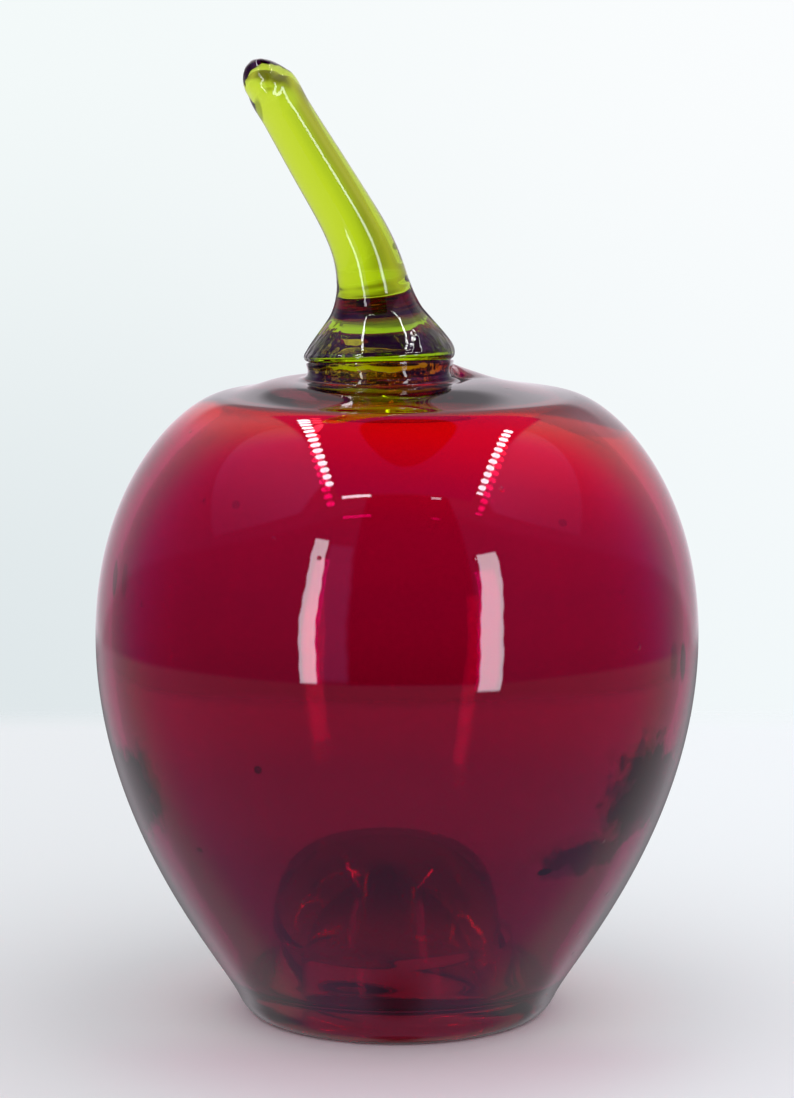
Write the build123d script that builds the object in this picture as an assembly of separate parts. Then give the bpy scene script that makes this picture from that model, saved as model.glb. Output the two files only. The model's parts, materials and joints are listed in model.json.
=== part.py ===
from build123d import *
from build123d import SkipClean
from math import cos, hypot, radians, sin, tan
import os

# A blown glass apple: a hollow ruby body with a short neck, and the solid green stem fused to it.
# Millimetres and degrees, +Z up. The origin is the middle of the rest ring, and the stem leans to -X.

# Apple body, outside
belly_radius = 63.5
belly_height = 80.6
shoulder_radius = 36.8
shoulder_height = 131.5
crown_slope = 7.0
crown_rise = 3.1
heel_radius = 34.1
heel_height = 4.1
heel_lean = 25.5
heel_round = 4.9
rest_ring_width = 6.5

# Apple body, glass
wall = 3.2
crown_wall = 4.0
shoulder_wall = 3.0
shoulder_inset = 4.0
base_thickness = 8.0
floor_corner = 5.0

# Punt: the middle of the base, pushed up into the body, hollow below and domed above
punt_height = 28.0
punt_wall = 8.5
flank_radius = 24.7
flank_height = 17.0
flank_lean = 6.0

# Handles of the outline's curves, as shares of the spans that they bend
lower_handle_share = 0.118
belly_under_share = 0.515
belly_over_share = 0.646
shoulder_handle_share = 0.302
crown_handle_share = 0.45
corner_handle_share = 0.55
flank_foot_share = 0.60
flank_handle_share = 0.76
dome_top_share = 0.79
punt_waist_share = 0.705
punt_rise_share = 0.607

# Neck, with the blow hole, and the flare that runs from it into the crown behind
neck_radius = 15.6
neck_height = 3.8
neck_offset = 3.6
rim_round = 0.7
seat_tilt = 1.3
seat_lift = 5.4
bore_radius = 9.5
flare_radius = 18.5
flare_depth = 4.0
flare_drop = 0.4
flare_foot_right = 12.3
flare_foot_back = 17.5
flare_top_right = 4.6
flare_top_back = 5.0

# Stem
foot_radius = 15.75
foot_height = 17.2
foot_settle = 3.0
root_lean = 3.5
shaft_root_radius = 7.45
shaft_tip_radius = 5.15
tip_length = 6.2
stem_rise = 62.7
stem_reach = 25.6
root_handle = 29.2
plug_clearance = 0.2
plug_depth = 8.5
plug_round = 2.0

# The bend handle of the stem's centreline, as shares of its reach and rise
bend_reach_share = 0.10
bend_rise_share = 0.338

# Foot: share of its height, and share of the step from shaft to foot radius
foot_flare_shares = (
    (0.00, 0.880), (0.025, 0.955), (0.073, 1.000), (0.135, 0.980), (0.20, 0.904), (0.302, 0.753), (0.405, 0.584),
    (0.507, 0.416), (0.605, 0.265), (0.712, 0.157), (0.823, 0.078), (0.953, 0.012),
)
# Shaft: share of the run from foot to tip, and share of the step from tip to root radius
shaft_taper_shares = ((0.03, 0.910), (0.11, 0.717), (0.26, 0.457), (0.59, 0.217), (0.85, 0.050))
# Tip: share of its length, share of the tip radius, and sideways shift as a share of that radius
tip_round_shares = (
    (0.00, 1.00, 0.00), (0.22, 0.93, 0.07), (0.48, 0.80, 0.12), (0.66, 0.67, 0.14),
    (0.82, 0.49, 0.16), (0.94, 0.28, 0.17), (1.00, 0.12, 0.17),
)

# Sizes that follow from the ones above
rest_radius = heel_radius - heel_round
crown_height = shoulder_height + crown_rise
seat_height = crown_height + neck_height
seat_slope = tan(radians(seat_tilt))
seat = Plane(
    origin=(-neck_offset, 0, seat_height),
    x_dir=(1, 0, seat_slope),
    z_dir=(-seat_slope, tan(radians(seat_lift)), 1),
)


def at(radius, height):
    """A point of the body's outline, on the half section through +X."""
    return Vector(radius, 0, height)


def rising(angle, length):
    """A step up and outwards along a line that leans from upright by an angle."""
    return Vector(length * sin(radians(angle)), 0, length * cos(radians(angle)))


def falling(angle, length):
    """A step outwards and down along a line that slopes from level by an angle."""
    return Vector(length * cos(radians(angle)), 0, -length * sin(radians(angle)))


def outer_outline():
    """The outside of the body, from the punt round the belly to the middle of the crown."""
    rim = at(rest_radius - rest_ring_width, 0)
    waist = punt_waist_share * rim.X
    ring = at(rest_radius, 0)
    heel = at(heel_radius, heel_height)
    belly = at(belly_radius, belly_height)
    shoulder = at(shoulder_radius, shoulder_height)
    crown = at(neck_radius, crown_height)
    under = belly_height - heel_height
    over = shoulder_height - belly_height
    shoulder_span = shoulder_handle_share * (belly_radius - shoulder_radius)
    crown_span = crown_handle_share * (shoulder_radius - neck_radius)
    shoulder_step = falling(crown_slope, shoulder_span)
    crown_step = falling(crown_slope, crown_span)
    return [
        Bezier(at(0, punt_height), at(waist, punt_height), at(waist, punt_rise_share * punt_height), rim),
        Line(rim, ring),
        Bezier(
            ring,
            ring + at(corner_handle_share * heel_round, 0),
            heel - rising(heel_lean, corner_handle_share * heel_height),
            heel,
        ),
        Bezier(
            heel,
            heel + rising(heel_lean, lower_handle_share * under),
            belly - at(0, belly_under_share * under),
            belly,
        ),
        Bezier(belly, belly + at(0, belly_over_share * over), shoulder + shoulder_step, shoulder),
        Bezier(shoulder, shoulder - crown_step, crown + at(crown_span, 0), crown),
        Line(crown, at(0, crown_height)),
    ]


def inner_outline():
    """The inside of the body, from the middle of the crown down to the top of the dome."""
    ceiling_height = crown_height - crown_wall
    corner_top = base_thickness + floor_corner
    lean_run = (corner_top - heel_height) * tan(radians(heel_lean))
    corner_radius = heel_radius + lean_run - wall / cos(radians(heel_lean))
    ceiling = at(neck_radius, ceiling_height)
    shoulder = at(shoulder_radius - shoulder_inset, shoulder_height - shoulder_wall)
    belly = at(belly_radius - wall, belly_height)
    corner = at(corner_radius, corner_top)
    floor_edge = at(corner_radius - floor_corner, base_thickness)
    over = shoulder.Z - belly_height
    under = belly_height - corner_top
    shoulder_span = shoulder_handle_share * (belly.X - shoulder.X)
    crown_span = crown_handle_share * (shoulder.X - neck_radius)
    shoulder_step = falling(crown_slope, shoulder_span)
    crown_step = falling(crown_slope, crown_span)
    flank = at(flank_radius, flank_height)
    dome = at(0, punt_height + punt_wall)
    foot_step = rising(-flank_lean, flank_foot_share * (flank_height - base_thickness))
    flank_step = rising(-flank_lean, flank_handle_share * (dome.Z - flank_height))
    return [
        Line(at(0, ceiling_height), ceiling),
        Bezier(ceiling, ceiling + at(crown_span, 0), shoulder - crown_step, shoulder),
        Bezier(shoulder, shoulder + shoulder_step, belly + at(0, belly_over_share * over), belly),
        Bezier(
            belly,
            belly - at(0, belly_under_share * under),
            corner + rising(heel_lean, lower_handle_share * under),
            corner,
        ),
        Bezier(
            corner,
            corner - rising(heel_lean, corner_handle_share * floor_corner),
            floor_edge + at(corner_handle_share * floor_corner, 0),
            floor_edge,
        ),
        Bezier(
            floor_edge,
            floor_edge - at(corner_handle_share * (floor_edge.X - flank_radius), 0),
            flank - foot_step,
            flank,
        ),
        Bezier(flank, flank + flank_step, dome + at(dome_top_share * flank_radius, 0), dome),
    ]


def revolved(outline):
    """A solid of revolution from an outline that starts and ends on the axis."""
    closing = Line(outline[-1] @ 1, outline[0] @ 0)
    return revolve(make_face(Curve() + outline + [closing]), Axis.Z, 360)


def neck():
    """The short neck, upright in front, with the flare that runs out over the crown behind it."""
    root = Plane(origin=(-neck_offset, 0, crown_height - crown_wall / 2))
    rim = seat.offset(-rim_round)
    rings = [root * Circle(neck_radius), rim * Circle(neck_radius), seat * Circle(neck_radius - rim_round)]
    collar = loft(rings, ruled=True)
    low = Plane(origin=(flare_foot_right - neck_offset, flare_foot_back, crown_height - flare_depth))
    high = Plane(origin=(flare_top_right - neck_offset, flare_top_back, seat_height - flare_drop))
    top_radius = neck_radius - hypot(flare_top_right, flare_top_back)
    flare = loft([low * Circle(flare_radius), high * Circle(top_radius)], ruled=True)
    return collar + split(flare, bisect_by=rim, keep=Keep.BOTTOM)


def apple_body():
    """The hollow blown body with its neck, blow hole and punt."""
    bore = seat * Cylinder(bore_radius, 2 * (neck_height + 2 * crown_wall))
    with SkipClean():
        return revolved(outer_outline()) + neck() - revolved(inner_outline()) - bore


def centreline():
    """The stem's centreline, nearly upright at the seat and bending over to the tip."""
    root = seat.origin
    tip = root + Vector(-stem_reach, 0, stem_rise)
    bend = root + Vector(-bend_reach_share * stem_reach, 0, bend_rise_share * stem_rise)
    return Bezier(root, root + rising(-root_lean, root_handle), bend, tip)


def section(path, distance, radius, shift=0):
    """A round section along the centreline, flat on the seat at first and then square to the line."""
    share = distance / path.length
    settled = min(distance / foot_settle, 1)
    along = seat.z_dir * (1 - settled) + (path % share) * settled
    across = Vector(0, 1, 0).cross(along).normalized()
    return Plane(origin=(path @ share) - across * shift, x_dir=across, z_dir=along) * Circle(radius)


def stem():
    """The solid stem: flared foot, tapering shaft, rounded tip, and the plug in the blow hole."""
    path = centreline()
    shaft_run = path.length - foot_height - tip_length
    sections = []
    for height_share, step_share in foot_flare_shares:
        radius = shaft_root_radius + step_share * (foot_radius - shaft_root_radius)
        sections.append(section(path, height_share * foot_height, radius))
    for run_share, step_share in shaft_taper_shares:
        radius = shaft_tip_radius + step_share * (shaft_root_radius - shaft_tip_radius)
        sections.append(section(path, foot_height + run_share * shaft_run, radius))
    for length_share, radius_share, shift_share in tip_round_shares:
        distance = foot_height + shaft_run + length_share * tip_length
        sections.append(
            section(path, distance, radius_share * shaft_tip_radius, shift_share * shaft_tip_radius)
        )
    shaft = loft(sections)
    plug = seat * Pos(0, 0, -plug_depth / 2) * Cylinder(bore_radius - plug_clearance, plug_depth)
    plug_end = plug.edges().sort_by(Axis.Z)[0]
    return shaft + fillet(plug_end, plug_round)


os.makedirs("parts", exist_ok=True)
export_step(apple_body(), "parts/apple_body.step")
export_step(stem(), "parts/stem.step")
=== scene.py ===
import bpy
import json
import math
import numpy as np
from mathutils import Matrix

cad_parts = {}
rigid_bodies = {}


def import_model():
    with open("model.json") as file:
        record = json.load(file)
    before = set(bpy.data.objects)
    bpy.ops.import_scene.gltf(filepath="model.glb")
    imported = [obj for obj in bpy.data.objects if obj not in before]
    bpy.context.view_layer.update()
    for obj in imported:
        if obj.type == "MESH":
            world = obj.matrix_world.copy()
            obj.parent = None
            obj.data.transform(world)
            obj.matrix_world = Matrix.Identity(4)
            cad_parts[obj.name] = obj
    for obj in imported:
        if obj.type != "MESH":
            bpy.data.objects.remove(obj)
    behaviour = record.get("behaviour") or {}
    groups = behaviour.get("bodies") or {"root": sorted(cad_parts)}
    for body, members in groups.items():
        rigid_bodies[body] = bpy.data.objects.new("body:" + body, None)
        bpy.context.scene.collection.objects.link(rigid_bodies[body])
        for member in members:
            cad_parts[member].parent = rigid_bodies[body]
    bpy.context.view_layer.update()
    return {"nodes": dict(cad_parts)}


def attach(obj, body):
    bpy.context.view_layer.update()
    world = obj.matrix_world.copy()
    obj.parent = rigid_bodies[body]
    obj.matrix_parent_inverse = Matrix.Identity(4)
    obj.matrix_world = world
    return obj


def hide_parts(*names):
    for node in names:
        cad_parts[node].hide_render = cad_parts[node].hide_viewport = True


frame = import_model()
print("frame loaded:", sorted(frame["nodes"]))

mm = 0.001  # sizes are in millimetres, meshes are in metres
up = np.array([0.0, 1.0])  # outlines are radius and height
out = np.array([1.0, 0.0])


# Helpers for outlines and meshes

def bezierCurve(points, count):
    # cubic: each point is the four handles weighted by the Bernstein polynomials of t
    t = np.linspace(0.0, 1.0, count)[:, None]
    p = np.array(points, float)
    return (1 - t) ** 3 * p[0] + 3 * (1 - t) ** 2 * t * p[1] + 3 * (1 - t) * t ** 2 * p[2] + t ** 3 * p[3]


def joinRuns(runs):
    # one outline from several runs, each repeated end point kept once
    return np.vstack([runs[0]] + [run[1:] for run in runs[1:]])


def unit(vectors):
    # each vector over its own length
    return vectors / np.linalg.norm(vectors, axis=-1, keepdims=True)


def roundCorner(corner, before, after, radius, count):
    # a bend whose ends lie a radius from the corner along both sides; its handles lie two thirds of the way
    # from them to the corner
    corner = np.array(corner, float)
    a = corner + unit(np.array(before, float) - corner) * radius
    b = corner + unit(np.array(after, float) - corner) * radius
    return bezierCurve([a, (a + 2 * corner) / 3, (b + 2 * corner) / 3, b], count)


def smoothStep(x):
    # 0 below 0, 1 above 1, and 3x^2 - 2x^3 between
    x = np.clip(x, 0.0, 1.0)
    return x * x * (3 - 2 * x)


def softMax(a, b, width):
    # larger of two heights, with the crease between them rounded
    return 0.5 * (a + b + np.sqrt((a - b) ** 2 + width ** 2))


def smoothTable(x, knots, values):
    # a cubic through the knots whose slopes are the mean of the neighbouring chords
    slopes = np.gradient(values, knots)
    k = np.clip(np.searchsorted(knots, x) - 1, 0, len(knots) - 2)
    h = knots[k + 1] - knots[k]
    u = (x - knots[k]) / h
    a, b = values[k], values[k + 1]
    return (a * (1 + 2 * u) * (1 - u) ** 2 + slopes[k] * h * u * (1 - u) ** 2
            + b * u ** 2 * (3 - 2 * u) + slopes[k + 1] * h * u ** 2 * (u - 1))


def gridFaces(rows, columns):
    # quads between neighbouring rows of a closed ring of columns
    i, j = np.meshgrid(np.arange(rows - 1), np.arange(columns), indexing="ij")
    k = (j + 1) % columns
    corners = [i * columns + j, i * columns + k, (i + 1) * columns + k, (i + 1) * columns + j]
    return np.stack(corners, -1).reshape(-1, 4)


def ringMesh(rings):
    # rings: rows x columns x 3, closed round each ring, with a pole vertex at the mean of each end ring
    rows, columns, _ = rings.shape
    points = np.vstack([rings.reshape(-1, 3), rings[0].mean(0), rings[-1].mean(0)])
    pole, lastRow = rows * columns, (rows - 1) * columns
    j = np.arange(columns)
    k = (j + 1) % columns
    first = np.stack([np.full(columns, pole), k, j], -1)
    last = np.stack([np.full(columns, pole + 1), lastRow + j, lastRow + k], -1)
    return points, gridFaces(rows, columns), np.vstack([first, last])


def addPiece(name, points, faces):
    # an object whose mesh is in metres, from points in millimetres
    mesh = bpy.data.meshes.new(name)
    mesh.from_pydata((points * mm).tolist(), [], faces)
    piece = bpy.data.objects.new(name, mesh)
    bpy.context.scene.collection.objects.link(piece)
    return piece


def addRings(name, rings):
    # one closed, smooth-shaded piece from rings of points
    points, quads, triangles = ringMesh(rings)
    piece = addPiece(name, points, quads.tolist() + triangles.tolist())
    piece.data.polygons.foreach_set("use_smooth", np.ones(len(piece.data.polygons), bool))
    piece.data.update()
    return piece


# Apple body

apple = {
    "belly": (63.45, 80.6), "shoulder": (36.8, 131.5), "crownSlope": 7.0, "crownRise": 3.1,
    "heel": (34.1, 4.1), "heelLean": 25.5, "heelRound": 4.9, "ringWidth": 6.5,
    "wall": 3.2, "crownWall": 4.0, "shoulderWall": 3.0, "shoulderInset": 4.0,
    "base": 8.0, "floorCorner": 5.0,
    # the pushed-up base and the dome over it, with a shift to the left that grows with height
    "puntHeight": 28.0, "puntWaist": 16.0, "puntRise": 17.0,
    "domeHeight": 36.5, "domeTop": 19.5, "flankRadius": 24.7, "flankHeight": 17.0, "flankLean": 6.0,
    "puntShift": -2.4, "shiftFrom": 2.0, "shiftOver": 18.0, "poleRadius": 0.3,
    "neckRadius": 15.6, "neckHeight": 3.8, "neckFillet": 2.2, "neckWaist": 0.5, "waistSkew": 0.8,
    "neckOffset": 3.6, "rimRound": 0.7, "seatTilt": 1.3, "seatLift": 5.4, "boreRadius": 9.5,
    # flare behind the neck: foot and top places from the neck's axis, depth below the crown, drop below the
    # seat, and how it melts into the crown
    "flareRadius": 18.5, "flareFoot": (12.3, 17.5), "flareTop": (4.6, 5.0), "flareDepth": 4.0,
    "flareDrop": 0.4, "flareGap": 0.1, "flareBlend": 0.5, "flareSink": 0.06, "flareReach": 1.0,
    "flareLevels": 160,
    # handles of the outline's curves, as shares of the spans that they bend
    "lowerShare": 0.118, "underShare": 0.515, "overShare": 0.646, "shoulderShare": 0.302, "crownShare": 0.45,
    "cornerShare": 0.55, "flankFootShare": 0.6, "flankShare": 0.76,
    # rows of the mesh on each stretch, and columns round it
    "domeRows": 60, "heelRows": 14, "sideRows": 70, "crownRows": 24, "filletRows": 10, "neckRows": 7,
    "rimRows": 8, "cornerRows": 16, "floorRows": 20, "columns": 184,
}


def seatMiddle(s):
    # height of the neck's top on the neck's axis
    return s["shoulder"][1] + s["crownRise"] + s["neckHeight"]


def seatPlane(s, x, y):
    # the face that carries the stem: it drops a little to the left and rises towards the front
    tilt = math.tan(math.radians(s["seatTilt"]))
    lift = math.tan(math.radians(s["seatLift"]))
    return seatMiddle(s) + tilt * (x + s["neckOffset"]) - lift * y


def slopeStep(degrees, length):
    # outwards and down
    a = math.radians(degrees)
    return np.array([math.cos(a), -math.sin(a)]) * length


def riseStep(degrees, length):
    # up and outwards, leaning from upright
    a = math.radians(degrees)
    return np.array([math.sin(a), math.cos(a)]) * length


def cornerCurve(s, low, high, outSize, upSize, rows):
    # level at its low end, along the heel's lean at its high end
    outStep = out * s["cornerShare"] * outSize
    upStep = riseStep(s["heelLean"], s["cornerShare"] * upSize)
    return bezierCurve([low, low + outStep, high - upStep, high], rows)


def lowerCurve(s, low, belly):
    # from the heel's lean to the upright belly
    span = belly[1] - low[1]
    leanStep = riseStep(s["heelLean"], s["lowerShare"] * span)
    return bezierCurve([low, low + leanStep, belly - up * s["underShare"] * span, belly], s["sideRows"])


def upperCurve(s, belly, shoulder):
    # from the upright belly over to the shoulder's slope
    upStep = up * s["overShare"] * (shoulder[1] - belly[1])
    slope = slopeStep(s["crownSlope"], s["shoulderShare"] * (belly[0] - shoulder[0]))
    return bezierCurve([belly, belly + upStep, shoulder + slope, shoulder], s["sideRows"])


def crownCurve(s, shoulder, crown, end):
    # from the shoulder's slope to the level crown
    span = s["crownShare"] * (shoulder[0] - crown[0])
    slope = slopeStep(s["crownSlope"], span)
    return bezierCurve([shoulder, shoulder - slope, crown + out * span, end], s["crownRows"])


def crownPoint(s):
    # where the crown and the neck's wall would meet without the fillet
    return np.array([s["neckRadius"], s["shoulder"][1] + s["crownRise"]])


def outerRun(s):
    # radius and height from the middle of the underside, round the outside to the neck's fillet
    heel, belly, shoulder = np.array(s["heel"]), np.array(s["belly"]), np.array(s["shoulder"])
    ring = np.array([heel[0] - s["heelRound"], 0.0])
    rim = ring - out * s["ringWidth"]
    crown = crownPoint(s)
    waist = s["puntWaist"]
    punt = [(s["poleRadius"], s["puntHeight"]), (waist, s["puntHeight"]), (waist, s["puntRise"]), rim]
    return joinRuns([
        bezierCurve(punt, s["domeRows"]),
        np.array([rim, ring]),
        cornerCurve(s, ring, heel, s["heelRound"], heel[1], s["heelRows"]),
        lowerCurve(s, heel, belly),
        upperCurve(s, belly, shoulder),
        crownCurve(s, shoulder, crown, crown + out * s["neckFillet"]),
    ])


def neckRun(s):
    # from the crown's fillet up the neck to its rounded rim
    crown = crownPoint(s)
    seatTop = crown + up * s["neckHeight"]
    heights = np.linspace(s["neckFillet"], s["neckHeight"] - s["rimRound"], s["neckRows"])
    return joinRuns([
        roundCorner(crown, crown + out, crown + up, s["neckFillet"], s["filletRows"]),
        crown + up * heights[:, None],
        roundCorner(seatTop, crown, (0.0, seatTop[1]), s["rimRound"], s["rimRows"]),
    ])


def innerRun(s):
    # from the lower end of the blow hole, round the inside to the middle of the dome
    heel, belly, shoulder = np.array(s["heel"]), np.array(s["belly"]), np.array(s["shoulder"])
    ceiling = crownPoint(s) - up * s["crownWall"]
    innerShoulder = shoulder - up * s["shoulderWall"] - out * s["shoulderInset"]
    innerBelly = belly - out * s["wall"]
    lean = math.radians(s["heelLean"])
    cornerTop = s["base"] + s["floorCorner"]
    cornerRadius = heel[0] + (cornerTop - heel[1]) * math.tan(lean) - s["wall"] / math.cos(lean)
    corner = np.array([cornerRadius, cornerTop])
    floorEdge = np.array([cornerRadius - s["floorCorner"], s["base"]])
    flank = np.array([s["flankRadius"], s["flankHeight"]])
    middle = np.array([s["poleRadius"], s["domeHeight"]])
    floorStep = out * s["cornerShare"] * (floorEdge[0] - flank[0])
    footStep = riseStep(-s["flankLean"], s["flankFootShare"] * (flank[1] - s["base"]))
    flankStep = riseStep(-s["flankLean"], s["flankShare"] * (middle[1] - flank[1]))
    return joinRuns([
        np.array([(s["boreRadius"], ceiling[1]), ceiling]),
        crownCurve(s, innerShoulder, ceiling, ceiling)[::-1],
        upperCurve(s, innerBelly, innerShoulder)[::-1],
        lowerCurve(s, corner, innerBelly)[::-1],
        cornerCurve(s, floorEdge, corner, s["floorCorner"], s["floorCorner"], s["cornerRows"])[::-1],
        bezierCurve([floorEdge, floorEdge - floorStep, flank - footStep, flank], s["floorRows"]),
        bezierCurve([flank, flank + flankStep, middle + out * s["domeTop"], middle], s["domeRows"]),
    ])


def neckShare(s, outline, first, last):
    # 1 on the neck and in the blow hole, fading to 0 over the rows of the crown and of the ceiling
    share = np.zeros(len(outline))
    share[first:last] = 1.0
    span = s["crownRows"] - 1
    for rows in (slice(first - span, first), slice(last, last + span)):
        run = outline[rows, 0]
        share[rows] = smoothStep((run.max() - run) / (run.max() - run.min()))
    return share[:, None]


def flareHeight(s, x, y):
    # height of a leaning cone that joins the neck to the crown behind it: each point takes the highest of
    # many levels whose circle holds it
    foot, top = np.array(s["flareFoot"]), np.array(s["flareTop"])
    topRadius = s["neckRadius"] - math.hypot(*top)
    level = np.linspace(0.0, 1.0, s["flareLevels"])[:, None, None]
    centreX = foot[0] + (top[0] - foot[0]) * level - s["neckOffset"]
    centreY = foot[1] + (top[1] - foot[1]) * level
    radius = s["flareRadius"] + (topRadius - s["flareRadius"]) * level
    share = np.where(np.hypot(x - centreX, y - centreY) <= radius, level, 0.0).max(0)
    low, high = crownPoint(s)[1] - s["flareDepth"], seatMiddle(s) - s["flareDrop"]
    return low + (high - low) * share


def raiseFlare(s, x, y, z):
    # crown heights with the flare melted in, always a little below the seat
    flare = np.minimum(flareHeight(s, x, y), seatPlane(s, x, y) - s["flareGap"])
    lifted = np.maximum(softMax(z, flare, s["flareBlend"]) - s["flareSink"], z)
    return np.where(flare > z - s["flareReach"], lifted, z)


def makeAppleBody(s):
    # the outline runs round the outside, over the neck, down the blow hole and round the inside; each of its
    # points is carried round the axis, and then the neck, the base and the flare are moved to their places
    outer, neckWall, inner = outerRun(s), neckRun(s), innerRun(s)
    seatEdge = [(s["boreRadius"], seatMiddle(s))]
    outline = np.vstack([joinRuns([outer, neckWall]), seatEdge, inner])
    first, last = len(outer) - 1, len(outer) + len(neckWall) + 2
    angle = np.linspace(0, 2 * np.pi, s["columns"], endpoint=False)
    radius, height = outline[:, :1], outline[:, 1:]
    x = radius * np.cos(angle)
    y = radius * np.sin(angle)
    z = height + 0 * angle
    # the neck stands off the body's axis, and its top lies on the seat
    share = neckShare(s, outline, first, last)
    x = x - s["neckOffset"] * share
    crownHeight = crownPoint(s)[1]
    seatShare = np.clip((height - crownHeight) / s["neckHeight"], 0.0, 1.0) * (share > 0)
    z = z + seatShare * (seatPlane(s, x, y) - seatMiddle(s))
    # the pushed-up base and its dome stand a little to the left
    for rows in (slice(0, s["domeRows"]), slice(-s["domeRows"], None)):
        x[rows] += s["puntShift"] * smoothStep((height[rows] - s["shiftFrom"]) / s["shiftOver"])
    crownSide = slice(first - s["crownRows"] + 1, first + 1)
    z[crownSide] = raiseFlare(s, x[crownSide], y[crownSide], z[crownSide])
    # the neck's wall starts on the raised crown and has a slight waist
    wallRows = slice(first, first + len(neckWall))
    rise = (neckWall[:, 1:] - crownHeight) / s["neckHeight"]
    waist = 1.0 - s["neckWaist"] / s["neckRadius"] * np.sin(np.pi * rise ** s["waistSkew"])
    x[wallRows] = (x[wallRows] + s["neckOffset"]) * waist - s["neckOffset"]
    y[wallRows] *= waist
    z[wallRows] = z[first] + (z[wallRows.stop - 1] - z[first]) * rise
    piece = addRings("appleBody", np.stack([x, y, z], -1))
    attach(piece, "root")
    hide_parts("apple_body")
    print("apple body:", len(piece.data.polygons), "faces")
    return piece


# Stem

stem = {
    "footRadius": 15.75, "footHeight": 17.2, "footSettle": 3.0, "rootLean": 3.5,
    "rootRadius": 7.45, "tipRadius": 5.15, "tipLength": 6.2,
    "rise": 62.65, "reach": 25.6, "rootHandle": 29.2, "bendReach": 0.10, "bendRise": 0.338,
    "plugDepth": 8.5, "plugRound": 2.0, "plugPole": 0.02, "fuse": 0.2,
    # foot: share of its height, and share of the step from shaft to foot radius
    "footFlare": [(0.0, 0.88), (0.025, 0.955), (0.073, 1.0), (0.135, 0.98), (0.20, 0.904), (0.302, 0.753),
                  (0.405, 0.584), (0.507, 0.416), (0.605, 0.265), (0.712, 0.157), (0.823, 0.078),
                  (0.953, 0.012)],
    # shaft: share of the run from foot to tip, and share of the step from tip to root radius
    "shaftTaper": [(0.03, 0.910), (0.11, 0.717), (0.26, 0.457), (0.59, 0.217), (0.85, 0.050)],
    # tip: share of its length, share of the tip radius, and sideways shift as a share of that radius
    "tipRound": [(0.0, 1.0, 0.0), (0.22, 0.93, 0.07), (0.48, 0.80, 0.12), (0.66, 0.67, 0.14),
                 (0.82, 0.49, 0.16), (0.94, 0.28, 0.17), (1.0, 0.06, 0.17)],
    # rows on foot, shaft and tip, on the plug's end and its rounded edge, steps of the path, columns round
    "footRows": 80, "shaftRows": 70, "tipRows": 30, "plugRows": 12, "plugEdgeRows": 8, "pathSteps": 600,
    "columns": 128,
}


def stemPath(s, a):
    # centreline: it leaves the seat nearly upright and bends over to the tip
    lean = math.radians(s["rootLean"])
    root = np.array([-a["neckOffset"], 0.0, seatMiddle(a)])
    start = root + np.array([-math.sin(lean), 0.0, math.cos(lean)]) * s["rootHandle"]
    bend = root + np.array([-s["bendReach"] * s["reach"], 0.0, s["bendRise"] * s["rise"]])
    tip = root + np.array([-s["reach"], 0.0, s["rise"]])
    return bezierCurve([root, start, bend, tip], s["pathSteps"])


def stemProfile(s, length):
    # distance along the path, radius and sideways shift of each ring, from the three tables of shares
    flare, taper, end = np.array(s["footFlare"]), np.array(s["shaftTaper"]), np.array(s["tipRound"])
    tipStart = length - s["tipLength"]
    knots = np.concatenate([flare[:, 0] * s["footHeight"],
                            s["footHeight"] + taper[:, 0] * (tipStart - s["footHeight"]),
                            tipStart + end[:, 0] * s["tipLength"]])
    values = np.concatenate([s["rootRadius"] + flare[:, 1] * (s["footRadius"] - s["rootRadius"]),
                             s["tipRadius"] + taper[:, 1] * (s["rootRadius"] - s["tipRadius"]),
                             end[:, 1] * s["tipRadius"]])
    shifts = np.concatenate([np.zeros(len(flare) + len(taper)), end[:, 2] * s["tipRadius"]])
    quarter = np.linspace(0, np.pi / 2, s["tipRows"])[1:]
    distance = np.concatenate([np.linspace(0, s["footHeight"], s["footRows"]),
                               np.linspace(s["footHeight"], tipStart, s["shaftRows"])[1:],
                               length - s["tipLength"] * (1 - np.sin(quarter))])
    return distance, smoothTable(distance, knots, values), np.interp(distance, knots, shifts)


def stemRings(s, a, angle):
    # circles across the path; the foot's lowest ones lie flat on the seat
    path = stemPath(s, a)
    steps = np.linalg.norm(np.diff(path, axis=0), axis=1)
    along = np.concatenate([[0.0], np.cumsum(steps)])
    distance, radius, shift = stemProfile(s, along[-1])
    tangents = np.gradient(path, axis=0)
    centre = np.stack([np.interp(distance, along, path[:, i]) for i in range(3)], -1)
    tangent = unit(np.stack([np.interp(distance, along, tangents[:, i]) for i in range(3)], -1))
    settled = np.clip(distance / s["footSettle"], 0.0, 1.0)[:, None]
    seatAxis = np.array([-math.tan(math.radians(a["seatTilt"])), math.tan(math.radians(a["seatLift"])), 1.0])
    normal = unit(unit(seatAxis) * (1 - settled) + tangent * settled)
    across = unit(np.stack([normal[:, 2], np.zeros(len(normal)), -normal[:, 0]], -1))
    depth = np.cross(normal, across)
    centre = centre - across * shift[:, None]
    circle = (np.cos(angle)[None, :, None] * across[:, None, :]
              + np.sin(angle)[None, :, None] * depth[:, None, :])
    return centre[:, None, :] + radius[:, None, None] * circle


def plugRings(s, a, angle):
    # the plug from its lower pole, over its rounded edge and up its wall, hanging below the seat
    radius = a["boreRadius"] + s["fuse"]
    t = np.linspace(s["plugPole"], 1.0, s["plugRows"])
    end = np.array([(radius - s["plugRound"]) * t, -s["plugDepth"] + 0 * t]).T
    edge = roundCorner((radius, -s["plugDepth"]), (0, -s["plugDepth"]), (radius, 0), s["plugRound"],
                       s["plugEdgeRows"])
    wall = np.array([(radius, s["plugRound"] - s["plugDepth"]), (radius, -s["fuse"])])
    low = joinRuns([end, edge, wall])
    x = low[:, :1] * np.cos(angle) - a["neckOffset"]
    y = low[:, :1] * np.sin(angle)
    return np.stack([x, y, seatPlane(a, x, y) + low[:, 1:]], -1)


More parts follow.
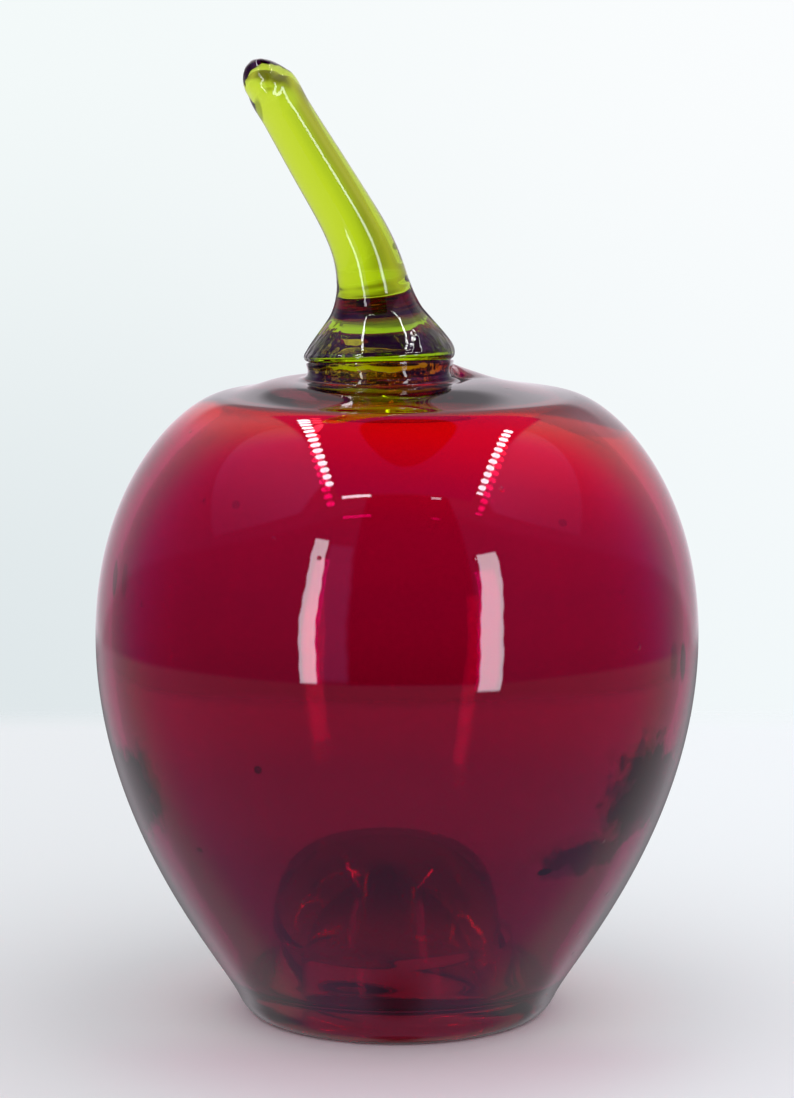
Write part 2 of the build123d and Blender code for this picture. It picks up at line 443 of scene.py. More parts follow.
def makeStem(s, a):
    # plug, underside of the foot and shaft in one run of rings
    angle = np.linspace(0, 2 * np.pi, s["columns"], endpoint=False)
    shaft = stemRings(s, a, angle)
    under = shaft[:1].copy()  # the foot's underside lies a little inside the neck's glass
    under[:, :, 2] -= s["fuse"]
    piece = addRings("stemGlass", np.vstack([plugRings(s, a, angle), under, shaft]))
    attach(piece, "root")
    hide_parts("stem")
    print("stem:", len(piece.data.polygons), "faces")
    return piece


# Helpers for materials: a value is a number, a colour or a socket, and each socket knows its own node tree

def newMaterial(name):
    material = bpy.data.materials.new(name)
    material.use_nodes = True
    tree = material.node_tree
    tree.nodes.clear()
    return material, tree


def addNode(tree, kind, **values):
    # a node with its inputs and settings given by name
    node = tree.nodes.new(kind)
    for key, value in values.items():
        if key in node.inputs:
            node.inputs[key].default_value = value
        else:
            setattr(node, key, value)
    return node


def link(source, target):
    # joins two sockets of one tree
    source.id_data.links.new(source, target)


def addFed(kind, values, **settings):
    # a node in the tree of the first socket among its values; each value is set on its input or linked to it
    sockets = [value for value in values.values() if isinstance(value, bpy.types.NodeSocket)]
    node = addNode(sockets[0].id_data, kind, **settings)
    for key, value in values.items():
        if isinstance(value, bpy.types.NodeSocket):
            link(value, node.inputs[key])
        else:
            node.inputs[key].default_value = value
    return node


def calc(operation, *values):
    # one maths operation on numbers and sockets
    return addFed("ShaderNodeMath", dict(enumerate(values)), operation=operation).outputs[0]


def times(first, *others):
    # product of all
    for other in others:
        first = calc("MULTIPLY", first, other)
    return first


def plus(first, *others):
    # sum of all
    for other in others:
        first = calc("ADD", first, other)
    return first


def minus(a, b):
    # the first less the second
    return calc("SUBTRACT", a, b)


def diagonal(a, b):
    # root of the sum of the two squares
    return calc("SQRT", plus(times(a, a), times(b, b)))


def fade(value, low, high, first=0.0, last=1.0):
    # smooth change from first to last while the value goes from low to high
    values = dict(enumerate((value, low, high, first, last)))
    return addFed("ShaderNodeMapRange", values, interpolation_type="SMOOTHSTEP").outputs[0]


def fades(value, rows):
    # one fade for each row of four numbers
    return [fade(value, *numbers) for numbers in rows]


def rises(length, span):
    # 0 to 1 over a span given in millimetres
    return fade(length, span[0] * mm, span[1] * mm)


def falls(length, span):
    # 1 to 0 over a span given in millimetres
    return fade(length, span[0] * mm, span[1] * mm, 1.0, 0.0)


def between(factor, first, second):
    # mix of two numbers by a factor
    return addFed("ShaderNodeMix", {0: factor, 2: first, 3: second}, data_type="FLOAT").outputs[0]


def blend(factor, first, second, kind="MIX"):
    # mix of two colours by a factor
    a, b = [(*value, 1.0) if isinstance(value, tuple) else value for value in (first, second)]
    return addFed("ShaderNodeMix", {0: factor, 6: a, 7: b}, data_type="RGBA", blend_type=kind).outputs[2]


def darken(colour, factor):
    # colour times a grey value
    grey = addFed("ShaderNodeCombineColor", {0: factor, 1: factor, 2: factor})
    return blend(1.0, colour, grey.outputs[0], "MULTIPLY")


def colourRamp(value, stops):
    # colours at places from 0 to 1, mixed evenly between
    node = addFed("ShaderNodeValToRGB", {0: value})
    ramp = node.color_ramp
    ramp.interpolation = "LINEAR"
    while len(ramp.elements) < len(stops):
        ramp.elements.new(1.0)
    for element, (place, colour) in zip(ramp.elements, stops):
        element.position = place
        element.color = (*colour, 1.0)
    return node.outputs[0]


def splitPlace(place):
    # its x, y and z
    return addFed("ShaderNodeSeparateXYZ", {0: place}).outputs


def newGroup(name, output, kind):
    # node group with the place on the object as its input and one output
    group = bpy.data.node_groups.new(name, "ShaderNodeTree")
    group.interface.new_socket("Place", in_out="INPUT", socket_type="NodeSocketVector")
    group.interface.new_socket(output, in_out="OUTPUT", socket_type=kind)
    place = group.nodes.new("NodeGroupInput").outputs[0]
    return group, place, group.nodes.new("NodeGroupOutput").inputs[0]


def addGroup(group, place):
    # a node that runs a group at the place on the object
    return addFed("ShaderNodeGroup", {0: place}, node_tree=group).outputs[0]


def noise(place, scale, detail, stretch=(1.0, 1.0, 1.0)):
    # soft noise from 0 to 1; scale in cells per metre
    mapped = addFed("ShaderNodeMapping", {0: place, "Scale": stretch}).outputs[0]
    return addFed("ShaderNodeTexNoise", {"Vector": mapped, "Scale": scale, "Detail": detail}).outputs[0]


def bump(heights, result):
    # one bump per height, chained; each comes with the depth in millimetres that its range of 1 stands for
    normal = None
    for height, depth in heights:
        node = addFed("ShaderNodeBump", {"Height": height, "Distance": depth * mm})
        if normal:
            link(normal, node.inputs["Normal"])
        normal = node.outputs[0]
    link(normal, result)


patchEdge = {"scale": 190.0, "detail": 3.0, "strength": 1.6, "inner": 0.75, "outer": 1.1}


def makeSpeckAndShadeMask(s, shapes):
    # 1 inside ragged ellipsoids, 0 outside
    group, place, result = newGroup("speckAndShadeMask", "Mask", "NodeSocketFloat")
    ragged = minus(noise(place, s["scale"], s["detail"]), 0.5)
    mask = None
    for middle, radii, rough, depth in shapes:
        box = {0: place, "Location": tuple(v * mm for v in middle), "Scale": tuple(v * mm for v in radii)}
        mapped = addFed("ShaderNodeMapping", box, vector_type="TEXTURE").outputs[0]
        length = addFed("ShaderNodeVectorMath", {0: mapped}, operation="LENGTH").outputs["Value"]
        reach = plus(length, times(ragged, rough * s["strength"]))
        one = fade(reach, s["inner"], s["outer"], depth, 0.0)
        mask = calc("MAXIMUM", mask, one) if mask else one
    link(mask, result)
    return group


def newGlass(name, s):
    # clear glass that also absorbs with depth: the material, its tree and shader, and the place on the object
    material, tree = newMaterial(name)
    output = addNode(tree, "ShaderNodeOutputMaterial")
    shader = addNode(tree, "ShaderNodeBsdfPrincipled", Roughness=0.0, IOR=s["ior"])
    shader.inputs["Transmission Weight"].default_value = 1.0
    depthColour = (*s["depthColour"], 1.0)
    volume = addNode(tree, "ShaderNodeVolumeAbsorption", Color=depthColour, Density=s["depthDensity"])
    link(shader.outputs[0], output.inputs["Surface"])
    link(volume.outputs[0], output.inputs["Volume"])
    place = addNode(tree, "ShaderNodeTexCoord").outputs["Object"]
    return material, tree, shader, place


# Ruby glass

ruby = {
    "ior": 1.5, "depthColour": (0.7, 0.2, 0.35), "depthDensity": 50.0,
    "ringClears": (0.1, 0.5), "ringRoughness": 0.55,  # the rest ring is worn dull
    # tint by height over tintOver: deep crimson at the foot, clear orange-red under the crown
    "tintOver": 140.0,
    "tint": [(0.00, (0.33, 0.0, 0.10)), (0.14, (0.35, 0.0, 0.11)), (0.29, (0.335, 0.0, 0.11)),
             (0.37, (0.43, 0.0, 0.112)), (0.50, (0.515, 0.0, 0.115)), (0.60, (0.53, 0.0, 0.12)),
             (0.69, (0.545, 0.0, 0.145)), (0.80, (0.655, 0.0, 0.135)), (0.85, (0.79, 0.0, 0.12)),
             (0.895, (0.92, 0.01, 0.07)), (0.925, (0.98, 0.02, 0.03)), (1.0, (0.98, 0.02, 0.03))],
    # painted light: the lighter tint reaches lower on the right; millimetres of height for each across, and
    # where
    "rightLightLean": 0.1162, "leanFrom": (92.0, 116.0), "leanTo": (126.0, 130.0),
    # the crown is dark from its thicker glass and painted shade of the dark roof, down to an edge that sinks
    # on the right
    "crownShadeTint": (0.30, 0.06, 0.09), "crownEdge": (130.7, 131.2),
    "sinkFrom": 20.0, "sinkOver": 21.5, "sinkDepth": 4.0,
    # painted light and shade seen through the pushed-up middle of the base, by height over domeOver: lighter
    # low down, a dark arch near its top
    "domeWithin": (25.5, 29.0), "domeBelow": (42.0, 50.0), "domeOver": 40.0,
    "domeLightAndShade": [(0.0, (0.84, 0.18, 0.38)), (0.5, (0.86, 0.18, 0.38)), (0.6, (0.70, 0.16, 0.32)),
                 (0.74, (0.40, 0.09, 0.22)), (0.88, (0.25, 0.06, 0.15)), (1.0, (0.37, 0.10, 0.21))],
    # the neck, left to right: dark violet, then olive and amber as painted reflection of the green foot, then
    # crimson, wandering a little
    "neckAbove": (134.9, 135.6), "neckWithin": (19.5, 20.5), "holeAbove": (127.5, 129.0),
    "holeWithin": (15.0, 17.5), "neckLeft": 20.0, "neckOver": 36.0,
    "wanderScale": 90.0, "wanderDetail": 2.0, "wander": 0.35,
    "neckTintAndReflection": [(0.0, (0.42, 0.16, 0.24)), (0.13, (0.45, 0.20, 0.22)), (0.19, (1.0, 0.90, 0.30)),
                 (0.38, (1.0, 0.70, 0.20)), (0.50, (1.0, 0.45, 0.14)), (0.70, (1.0, 0.32, 0.12)),
                 (0.80, (1.0, 0.06, 0.20)), (1.0, (0.85, 0.03, 0.16))],
    # light that grazes the surface has more glass to cross, and the darkening also paints shade on the edges;
    # the shoulder below the crown stays clear
    "grazeShade": [(0.33, 1.0, 1.0, 0.45), (0.50, 0.84, 1.0, 0.5)], "clearFrom": (122.0, 128.0),
    "clearTo": (130.6, 131.2),
    # relief: cells per metre, detail and depth in millimetres; the ripple stays on the neck, and the seeds
    # are tiny and sparse
    "slow": (26.0, 1.0, 0.16), "ripple": (150.0, 1.0, 1.10),
    "rippleAbove": (134.8, 135.8), "rippleWithin": (16.0, 17.2),
    "seedScale": 85.0, "seedEdge": (0.03, 0.055), "seedDepth": 0.05,
    # dark places: the three large ragged ones are painted shade of dark things seen low at the sides, the
    # rest small dark specks; middle, radii, raggedness and depth
    "specksAndShade": [((51.5, -28.0, 52.8), (12.5, 20.0, 11.5), 1.2, 0.93),
              ((38.5, -41.0, 41.8), (10.5, 11.0, 4.2), 1.1, 0.85),
              ((-54.5, -22.0, 52.0), (8.3, 17.0, 11.5), 1.1, 0.96),
              ((29.6, -46.0, 40.1), (1.9, 2.5, 0.9), 0.5, 1.0),
              ((-27.4, -55.4, 62.9), (0.9, 1.5, 0.9), 0.5, 0.9),
              ((-39.8, -39.3, 43.1), (0.7, 1.2, 0.6), 0.4, 0.8),
              ((-31.8, -45.4, 114.2), (0.9, 1.5, 0.9), 0.0, 0.42),
              ((32.7, -46.9, 110.8), (1.1, 1.5, 0.8), 0.0, 0.42),
              ((58.5, -24.6, 79.0), (0.9, 3.0, 4.4), 0.3, 0.95),
              ((-57.6, -22.6, 96.0), (0.7, 2.5, 5.5), 0.3, 0.9)],
}


def neckDistance(x, y):
    # distance from the neck's axis, which stands a little to the left
    return diagonal(plus(x, apple["neckOffset"] * mm), y)


def makeBodyWaves(s):
    # slow waves of hand-worked glass, a ripple round the neck, and tiny bubbles
    group, place, result = newGroup("bodyWaves", "Normal", "NodeSocketVector")
    x, y, z = splitPlace(place)
    onNeck = times(rises(z, s["rippleAbove"]), falls(neckDistance(x, y), s["rippleWithin"]))
    ripple = times(noise(place, *s["ripple"][:2]), onNeck)
    cells = addFed("ShaderNodeTexVoronoi", {"Vector": place, "Scale": s["seedScale"]})
    seeds = fade(cells.outputs["Distance"], *s["seedEdge"], 1.0, 0.0)
    slow = noise(place, *s["slow"][:2])
    bump([(slow, s["slow"][2]), (ripple, s["ripple"][2]), (seeds, s["seedDepth"])], result)
    return group


def tintByHeight(s, x, z):
    # the ramp's place is the height, raised by a share of the way to the right within a span of heights
    # painted light: this shift lightens the tint on the upper right
    shift = times(x, s["rightLightLean"], rises(z, s["leanFrom"]), falls(z, s["leanTo"]))
    height = calc("DIVIDE", plus(z, shift), s["tintOver"] * mm)
    return colourRamp(height, s["tint"])


def sunkenHeight(s, x, z):
    # height, raised by the square of the way to the right, so that an edge at one level sinks there
    beyond = calc("MAXIMUM", minus(x, s["sinkFrom"] * mm), 0.0)
    share = calc("DIVIDE", beyond, s["sinkOver"] * mm)
    return plus(z, times(share, share, s["sinkDepth"] * mm))


def neckColourAndReflection(s, place, x):
    # painted reflection of the green foot: the ramp's place runs from left to right, pushed about by noise
    wandering = {"Vector": place, "Scale": s["wanderScale"], "Detail": s["wanderDetail"]}
    wander = addFed("ShaderNodeTexNoise", wandering).outputs[0]
    across = calc("DIVIDE", plus(x, s["neckLeft"] * mm), s["neckOver"] * mm)
    across = plus(across, times(minus(wander, 0.5), s["wander"]))
    return colourRamp(across, s["neckTintAndReflection"])


def rubyGlass(s):
    # the tints lie over each other: height, crown, dome, neck with its hole, specks with painted shade, and
    # shade where light grazes
    material, tree, shader, place = newGlass("rubyGlass", s)
    x, y, z = splitPlace(place)
    ringEdge = [height * mm for height in s["ringClears"]]
    link(fade(z, *ringEdge, s["ringRoughness"], 0.0), shader.inputs["Roughness"])
    level = sunkenHeight(s, x, z)
    # the crown's tint: its thicker glass and painted shade of the dark roof
    tint = blend(rises(level, s["crownEdge"]), tintByHeight(s, x, z), s["crownShadeTint"])
    radius = diagonal(x, y)
    # painted light and shade seen through the pushed-up base
    dome = times(falls(radius, s["domeWithin"]), falls(z, s["domeBelow"]))
    domeHeight = calc("DIVIDE", z, s["domeOver"] * mm)
    tint = blend(dome, tint, colourRamp(domeHeight, s["domeLightAndShade"]))
    # painted reflection: the neck and its hole take the green foot's olive and amber
    neck = times(rises(z, s["neckAbove"]), falls(radius, s["neckWithin"]))
    hole = times(falls(neckDistance(x, y), s["holeWithin"]), rises(z, s["holeAbove"]))
    tint = blend(calc("MAXIMUM", neck, hole), tint, neckColourAndReflection(s, place, x))
    # painted shade in the large patches low at the sides, and small dark specks
    speckedAndShaded = addGroup(makeSpeckAndShadeMask(patchEdge, s["specksAndShade"]), place)
    tint = darken(tint, minus(1.0, speckedAndShaded))
    # painted shade: darker where the surface turns away from the view
    facing = addNode(tree, "ShaderNodeLayerWeight", Blend=0.5).outputs["Facing"]
    grazeShade = times(*fades(facing, s["grazeShade"]))
    clear = times(rises(z, s["clearFrom"]), falls(level, s["clearTo"]))
    tint = darken(tint, between(clear, grazeShade, 1.0))
    link(tint, shader.inputs["Base Color"])
    link(addGroup(makeBodyWaves(s), place), shader.inputs["Normal"])
    return material


# Green glass

green = {
    "ior": 1.5, "depthColour": (0.875, 0.925, 0.0), "depthDensity": 285.0,
    "tint": (0.88, 0.94, 0.6), "speckAndShadeTint": (0.10, 0.12, 0.03),
    # a painted shade on the tip's left facet, then a small dark speck: middle, radii, raggedness and depth
    "specksAndShade": [((-28.6, -2.5, 189.6), (1.1, 3.0, 4.6), 0.3, 0.75),
              ((-0.6, -1.5, 162.4), (0.8, 2.0, 0.9), 0.2, 0.9)],
    # where the relief lies: the foot, the joint, its far side, its left and right sides, and low on these
    "foot": (149.0, 157.0), "joint": (138.8, 139.6), "far": (-3.0, 1.0), "middle": 4.0, "sides": (6.5, 9.5),
    "under": (144.5, 149.0), "tipAbove": (191.5, 194.5), "tipLeft": (-26.5, -23.5),
    # relief: cells per metre, detail, stretch of the pattern and depth in millimetres
    "cords": (360.0, 2.0, (1.0, 1.0, 0.3), 0.55), "folds": (120.0, 1.0, (1.0, 1.0, 1.6), 1.6),
    "shear": (190.0, 1.0, (1.0, 1.0, 1.0), 1.3), "slow": (60.0, 1.0, (1.0, 1.0, 1.0), 0.12),
}


def makeStemWaves(s):
    # folds and cords in the joint and on the far side of the foot, cords low at both its sides too, a sheared
    # tip, and slow waves elsewhere
    group, place, result = newGroup("stemWaves", "Normal", "NodeSocketVector")
    x, y, z = splitPlace(place)
    far = calc("MAXIMUM", falls(z, s["joint"]), rises(y, s["far"]))
    folded = times(falls(z, s["foot"]), far)
    aside = calc("ABSOLUTE", plus(x, s["middle"] * mm))
    lowSides = times(rises(aside, s["sides"]), falls(z, s["under"]))
    tip = times(rises(z, s["tipAbove"]), falls(x, s["tipLeft"]))
    heights = [(noise(place, *s["slow"][:3]), s["slow"][3])]
    corded = calc("MAXIMUM", folded, lowSides)
    for name, where in (("folds", folded), ("cords", corded), ("shear", tip)):
        heights.append((times(noise(place, *s[name][:3]), where), s[name][3]))
    bump(heights, result)
    return group


def greenGlass(s):
    # lime green with a painted shade on the tip's left facet and one small dark speck
    material, tree, shader, place = newGlass("greenGlass", s)
    speckedAndShaded = addGroup(makeSpeckAndShadeMask(patchEdge, s["specksAndShade"]), place)
    link(blend(speckedAndShaded, s["tint"], s["speckAndShadeTint"]), shader.inputs["Base Color"])
    link(addGroup(makeStemWaves(s), place), shader.inputs["Normal"])
    return material


# Floor: a pale sheet under the apple

floor = {
    "half": 345.0, "steps": 24, "fadeFrom": 300.0, "fadeTo": 341.55,
    # painted light: paler and bluer to the right and to the back, where more light falls
    "back": (-220.0, 120.0), "right": (-90.0, 90.0),
    "frontTones": ((0.855, 0.82, 0.865), (0.935, 0.91, 0.97)),
    "backTones": ((0.83, 0.855, 0.885), (0.90, 0.93, 0.965)),
    # painted light near the glass: paler near it, pinkish right beside it and a pink glow in front, from
    # light through the red glass
    "near": (36.0, 70.0), "nearLightTone": (1.0, 0.94, 0.985),
    "beside": (29.0, 40.0), "besideShare": 0.8, "besideRedLightTone": (1.0, 0.80, 0.90),
    "glowAhead": 30.0, "glow": (30.0, 75.0), "glowShare": 0.7, "glowFront": (-45.0, -15.0),
    "glowTone": (0.87, 0.70, 0.80),
}


def floorToneAndLight(s, x, y):
    # painted light and shade: four tones across the sheet, then the rings and the glow near the glass
    right = rises(x, s["right"])
    tone = blend(rises(y, s["back"]), blend(right, *s["frontTones"]), blend(right, *s["backTones"]))
    apart = diagonal(x, y)
    # painted light: a paler ring near the glass, a pink one beside it and a pink glow in front
    tone = blend(falls(apart, s["near"]), tone, s["nearLightTone"])
    tone = blend(times(falls(apart, s["beside"]), s["besideShare"]), tone, s["besideRedLightTone"])
    ahead = diagonal(x, plus(y, s["glowAhead"] * mm))
    glow = times(falls(ahead, s["glow"]), s["glowShare"], falls(y, s["glowFront"]))
    return blend(glow, tone, s["glowTone"])


def makeFloor(s):
    # square sheet, its edge fading out so that it meets the backdrop softly
    line = np.linspace(-s["half"], s["half"], s["steps"] + 1)
    x, y = np.meshgrid(line, line)
    n = s["steps"] + 1
    i, j = np.meshgrid(np.arange(n - 1), np.arange(n - 1), indexing="ij")
    faces = np.stack([i * n + j, i * n + j + 1, (i + 1) * n + j + 1, (i + 1) * n + j], -1).reshape(-1, 4)
    piece = addPiece("floorSheet", np.stack([x.ravel(), y.ravel(), 0 * x.ravel()], -1), faces.tolist())
    material, tree = newMaterial("paleSheet")
    output = addNode(tree, "ShaderNodeOutputMaterial")
    diffuse = addNode(tree, "ShaderNodeBsdfDiffuse")
    clear = addNode(tree, "ShaderNodeBsdfTransparent")
    mixed = addNode(tree, "ShaderNodeMixShader")
    x, y, _ = splitPlace(addNode(tree, "ShaderNodeTexCoord").outputs["Object"])
    # distance from the middle by the fourth-power norm, whose contours are squares with round corners
    squares = times(x, x), times(y, y)
    reach = calc("SQRT", diagonal(*squares))
    link(rises(reach, (s["fadeFrom"], s["fadeTo"])), mixed.inputs[0])
    link(floorToneAndLight(s, x, y), diffuse.inputs["Color"])
    link(diffuse.outputs[0], mixed.inputs[1])
    link(clear.outputs[0], mixed.inputs[2])
    link(mixed.outputs[0], output.inputs["Surface"])
    piece.data.materials.append(material)
    piece.visible_glossy = False


# Studio: a small light tent, which only reflections and refractions show

tent = {
    # azimuth 0 looks from the apple to the camera and right is positive, turn is its size, elevation is up,
    # all in degrees; u = x / z and v = y / z lie on the roof; four numbers are a fade, which goes from the
    # third to the fourth while its value goes from the first to the second
    # side walls, brighter towards the back and a little dimmer on the left
    "walls": [(92.0, 150.0, 0.28, 0.76), (145.0, 172.0, 0.0, 0.15)], "wallsLeft": (-0.7, -0.1, 0.85, 1.0),
    # a fold: the cloth is darker below a line that rises towards the front
    "foldTurn": 135.0, "foldSlope": 0.46, "fold": (-4.0, -0.5, 0.72, 1.0),
    # brighter upper cloth with a sagging lower edge
    "sagTurn": 84.0, "sagSlope": 0.55, "upper": (24.0, 26.0),
    "upperTurns": [(118.0, 150.0, 1.0, 0.0), (48.0, 52.0, 0.0, 1.0)], "upperLevel": (22.0, 60.0, 0.12, 0.50),
    "rearTurn": (146.0, 164.0), "rearHeight": (16.0, 22.0), "rearDim": 0.56,
    # open front: from, to and softness
    "frontTurn": (-18.0, 30.0, 1.2), "frontHeight": (-30.0, 62.0, 1.5), "frontDim": 0.93,
    # roof between the lamp rows, with a dark opening: its middle and half widths, and the light round it
    "roofFrom": 0.05, "roofU": (-0.42, 0.55, 0.02), "roofV": (-0.62, 1.0, 0.03), "roofAbove": (0.6, 0.66),
    "roofHole": (0.043, 0.20, 0.19, 0.50), "roofLevel": (0.92, 1.12, 0.01, 0.34),
    # ground by elevation and by turn, then what dims it
    "groundHeight": (-45.0, -12.0, 0.45, 0.32),
    "groundTurns": [(25.0, 100.0, 0.0, 0.10), (95.0, 165.0, 0.0, 0.38)],
    "groundDeep": (-84.0, -76.0, 0.22, 0.85), "groundRear": (150.0, 172.0, 1.0, 0.35),
    "aslantTurn": (115.0, 140.0), "aslantHeight": (-40.0, -30.0, 1.0, 0.0), "aslantDim": 0.3,
    "horizon": (-10.3, -8.9),
    # lit bars: left and right side at elevation 0, lean per degree up, elevation from, to, softness and
    # strength; their edges waver with height by a rate and a size
    "bars": [(-36.6, -30.2, 0.0, -9.5, 36.0, 0.5, 9.5), (-29.6, -18.5, 0.0, -9.0, 35.0, 1.6, 0.55),
             (31.1, 39.9, 0.095, -11.5, 30.0, 0.5, 9.5)],
    "wavers": [(0.23, 0.35), (0.9, 0.16)],
    # lamp rows overhead: u at v 0, slope, bend, v from, to, half width, strength
    "rows": [(-0.400, 0.105, 0.02, -0.46, 0.74, 0.025, 21.0), (0.522, -0.115, 0.0, -0.51, 0.47, 0.025, 21.0)],
    "lampPitch": 0.085, "lampSwell": 0.28, "lampGaps": (-1.0, 0.2, 0.12, 1.0), "rowSoft": 0.01,
    "lampEdge": (0.8, 1.1, 1.0, 0.0),
    # short lamp rows across the front: v at u 0, slope, u from, to, half width, strength
    "crossRows": [(-0.6425, -0.077, -0.395, -0.185, 0.018, 16.0), (-0.665, 0.06, 0.245, 0.315, 0.014, 7.0)],
    "crossSoft": 0.008, "lampAbove": (0.4, 0.5),
    # tones: dim cloth is a little violet, and lamps are white
    "clothTones": ((108.0, 140.0), (0.85, 0.36, 1.2), (1.0, 0.92, 1.0)), "roofTone": (0.8, 0.12, 1.0),
    "groundTones": ((95.0, 125.0), (1.0, 0.62, 1.12), (1.0, 0.92, 1.0)),
    "lampFrom": (1.0, 4.0), "lampTone": (0.92, 0.90, 1.0), "plainTone": (1.0, 0.9, 0.92),
    # backdrop from left to right, at the horizon and above it, and the ground below it
    "backdropSide": (-0.12, 0.12), "wallTones": ((0.74, 0.80, 0.82), (0.89, 0.94, 0.955)),
    "highTones": ((0.90, 0.95, 0.95), (0.96, 0.98, 0.99)), "highFrom": (-11.0, 0.5),
    "lowTone": (0.76, 0.77, 0.80), "lowTo": (-16.0, -12.0),
    # where light that passes through the glass meets the backdrop, and the dusk that it meets elsewhere
    "behindTurn": (78.0, 125.0), "behindHeight": (-14.0, 52.0, 6.0),
    "duskHeight": (-0.2, 0.5), "duskTones": ((0.17, 0.09, 0.135), (0.30, 0.27, 0.25)),
    # plain light on the floor, from left to right
    "softSide": (-0.9, 0.9), "softTones": ((0.92, 0.92, 0.92), (1.1, 1.1, 1.1)),
}


def inside(value, low, high, soft):
    # 1 between low and high, 0 outside
    above = fade(value, low - soft, low + soft)
    return times(above, fade(value, high - soft, high + soft, 1.0, 0.0))


def oneLess(mask, share):
    # 1 outside the mask, dimmed by a share inside it
    return minus(1.0, times(mask, share))


def wallLevel(s, x, azimuth, turn, elevation):
    # side walls, the fold, the upper cloth and the open front
    level = times(plus(*fades(turn, s["walls"])), fade(x, *s["wallsLeft"]))
    foldLine = times(minus(s["foldTurn"], turn), s["foldSlope"])
    level = times(level, fade(minus(elevation, foldLine), *s["fold"]))
    sag = times(calc("ABSOLUTE", minus(turn, s["sagTurn"])), s["sagSlope"])
    upper = fade(minus(elevation, sag), *s["upper"])
    upper = times(upper, *fades(turn, s["upperTurns"]))
    level = plus(level, times(upper, fade(elevation, *s["upperLevel"])))
    rear = times(fade(turn, *s["rearTurn"]), fade(elevation, *s["rearHeight"]))
    front = times(inside(azimuth, *s["frontTurn"]), inside(elevation, *s["frontHeight"]))
    return times(level, oneLess(rear, s["rearDim"]), oneLess(front, s["frontDim"]))


def roofHoleLevel(s, u, v):
    # dark inside an ellipse on the roof
    middleU, middleV, halfU, halfV = s["roofHole"]
    acrossHole = calc("DIVIDE", minus(u, middleU), halfU)
    alongHole = calc("DIVIDE", minus(v, middleV), halfV)
    squares = times(acrossHole, acrossHole), times(alongHole, alongHole)
    return fade(plus(*squares), *s["roofLevel"])


def groundLevel(s, turn, elevation):
    # brighter to the back, then dimmed deep down, at the very back and aslant behind
    level = plus(fade(elevation, *s["groundHeight"]), *fades(turn, s["groundTurns"]))
    level = times(level, fade(elevation, *s["groundDeep"]), fade(turn, *s["groundRear"]))
    aslant = times(fade(turn, *s["aslantTurn"]), fade(elevation, *s["aslantHeight"]))
    return times(level, oneLess(aslant, s["aslantDim"]))


def addBars(s, level, azimuth, elevation):
    # each bar lies between two azimuths that lean and waver with elevation; the brightest light is kept
    waves = [times(calc("SINE", times(elevation, rate)), size) for rate, size in s["wavers"]]
    wavering = plus(azimuth, *waves)
    for low, high, lean, bottom, top, soft, strength in s["bars"]:
        along = minus(wavering, times(elevation, lean))
        bar = times(inside(along, low, high, soft), inside(elevation, bottom, top, soft))
        level = calc("MAXIMUM", level, times(bar, strength))
    return level


def addLamps(s, level, u, v, above):
    # rows of beads along slightly bent lines on the roof, and plain short rows across them
    for start, slope, bend, first, last, half, strength in s["rows"]:
        line = plus(times(v, slope), start, times(v, v, bend))
        offset = calc("ABSOLUTE", minus(u, line))
        beads = calc("COSINE", times(v, math.tau / s["lampPitch"]))
        reach = plus(half, times(beads, half * s["lampSwell"]))
        row = fade(calc("DIVIDE", offset, reach), *s["lampEdge"])
        row = times(row, inside(v, first, last, s["rowSoft"]), above, fade(beads, *s["lampGaps"]))
        level = calc("MAXIMUM", level, times(row, strength))
    for start, slope, first, last, half, strength in s["crossRows"]:
        offset = calc("ABSOLUTE", minus(v, plus(times(u, slope), start)))
        row = fade(calc("DIVIDE", offset, half), *s["lampEdge"])
        row = times(row, inside(u, first, last, s["crossSoft"]), above)
        level = calc("MAXIMUM", level, times(row, strength))
    return level


def scaled(colour, level):
    # colour times a brightness
    return addFed("ShaderNodeVectorMath", {0: colour, "Scale": level}, operation="SCALE").outputs[0]


def tentTone(s, level, roof, turn, skyShare):
    # dim places take the tone of the ground, the cloth or the roof, and bright ones that of the lamps
    span, front, back = s["clothTones"]
    cloth = blend(fade(turn, *span), front, back)
    span, front, back = s["groundTones"]
    ground = blend(fade(turn, *span), front, back)
    dim = blend(skyShare, ground, blend(roof, cloth, s["roofTone"]))
    return blend(fade(level, *s["lampFrom"]), dim, s["lampTone"])


def backdropTone(s, x, elevation):
    # from left to right and upwards, over the ground
    side = fade(x, *s["backdropSide"])
    tone = blend(fade(elevation, *s["highFrom"]), blend(side, *s["wallTones"]),
                 blend(side, *s["highTones"]))
    return blend(fade(elevation, *s["lowTo"]), s["lowTone"], tone)


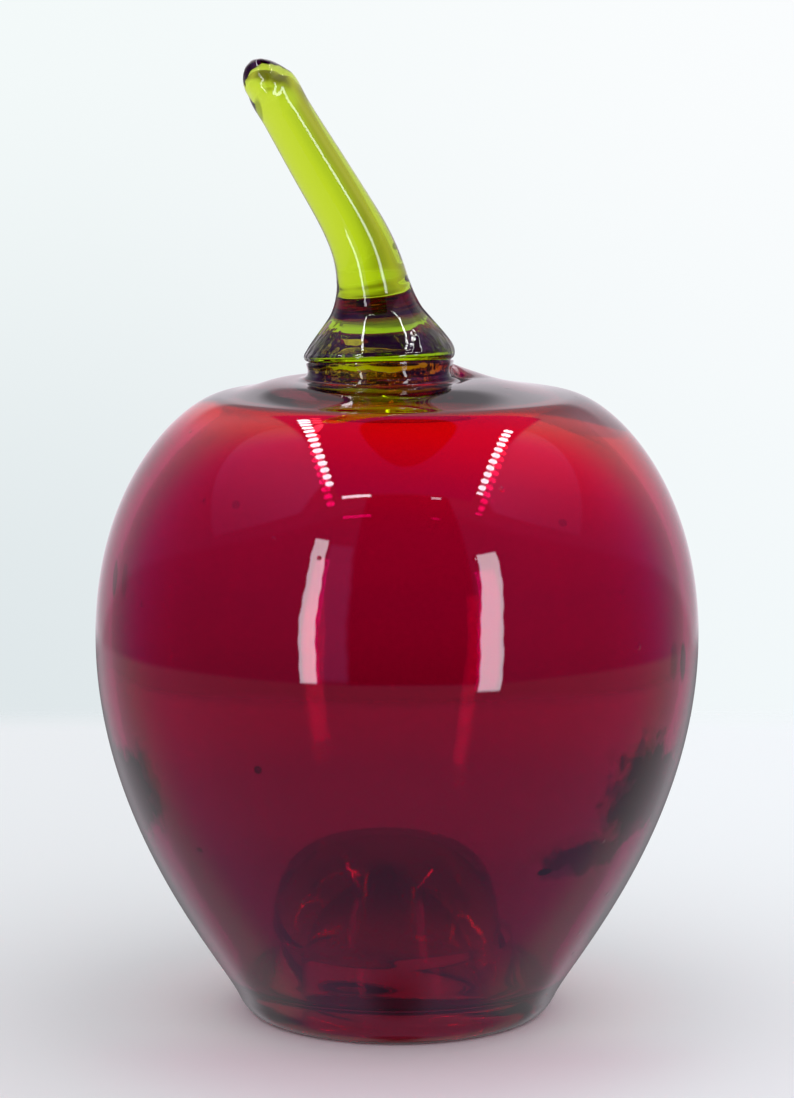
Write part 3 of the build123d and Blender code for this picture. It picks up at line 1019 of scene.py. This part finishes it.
def makeWorld(s):
    # glossy rays see the tent, rays through the glass see it in plain tones with the backdrop behind, the
    # camera sees the backdrop, and the floor is lit evenly
    world = bpy.data.worlds.new("studioWorld")
    bpy.context.scene.world = world
    world.use_nodes = True
    tree = world.node_tree
    tree.nodes.clear()
    output = addNode(tree, "ShaderNodeOutputWorld")
    background = addNode(tree, "ShaderNodeBackground")
    x, y, z = splitPlace(addNode(tree, "ShaderNodeTexCoord").outputs["Generated"])
    azimuth = calc("DEGREES", calc("ARCTAN2", x, times(y, -1.0)))
    elevation = calc("DEGREES", calc("ARCSINE", z))
    turn = calc("ABSOLUTE", azimuth)
    over = calc("MAXIMUM", z, s["roofFrom"])
    u = calc("DIVIDE", x, over)
    v = calc("DIVIDE", y, over)
    roof = times(inside(u, *s["roofU"]), inside(v, *s["roofV"]), fade(z, *s["roofAbove"]))
    walls = between(roof, wallLevel(s, x, azimuth, turn, elevation), roofHoleLevel(s, u, v))
    skyShare = fade(elevation, *s["horizon"])
    level = between(skyShare, groundLevel(s, turn, elevation), walls)
    level = addBars(s, level, azimuth, elevation)
    level = addLamps(s, level, u, v, fade(z, *s["lampAbove"]))
    studio = scaled(tentTone(s, level, roof, turn, skyShare), level)
    plain = scaled(s["plainTone"], level)

    backdrop = backdropTone(s, x, elevation)
    dusk = blend(fade(z, *s["duskHeight"]), *s["duskTones"])
    behind = times(fade(turn, *s["behindTurn"]), inside(elevation, *s["behindHeight"]))
    through = blend(behind, blend(1.0, plain, dusk, "LIGHTEN"), backdrop)
    soft = blend(fade(x, *s["softSide"]), *s["softTones"])
    light = addNode(tree, "ShaderNodeLightPath").outputs
    colour = blend(light["Is Glossy Ray"], soft, studio)
    colour = blend(light["Is Transmission Ray"], colour, through)
    colour = blend(light["Is Camera Ray"], colour, backdrop)
    link(colour, background.inputs["Color"])
    background.inputs["Strength"].default_value = 1.0
    link(background.outputs[0], output.inputs["Surface"])


# Camera

camera = {
    "distance": 760.0, "height": 209.94, "pitch": 8.325,
    "focalPixels": 3651.4, "imageHeight": 1098, "sensor": 36.0,
    "bounces": 24,  # enough for light to cross all the walls
}


def makeCamera(s):
    # the lens in millimetres is the focal length in image heights times the sensor's height
    data = bpy.data.cameras.new("photoCamera")
    data.sensor_width = s["sensor"]
    data.lens = s["focalPixels"] / s["imageHeight"] * s["sensor"]
    view = bpy.data.objects.new("photoCamera", data)
    view.location = (0, -s["distance"] * mm, s["height"] * mm)
    view.rotation_euler = (math.radians(90 - s["pitch"]), 0, 0)
    bpy.context.scene.collection.objects.link(view)
    bpy.context.scene.camera = view
    bpy.context.scene.view_settings.view_transform = "Standard"
    bpy.context.scene.cycles.max_bounces = s["bounces"]
    bpy.context.scene.cycles.transmission_bounces = s["bounces"]


makeCamera(camera)
makeFloor(floor)
makeWorld(tent)
print("studio ready")

bodyPiece = makeAppleBody(apple)
bodyPiece.data.materials.append(rubyGlass(ruby))
stemPiece = makeStem(stem, apple)
stemPiece.data.materials.append(greenGlass(green))
print("glass ready")
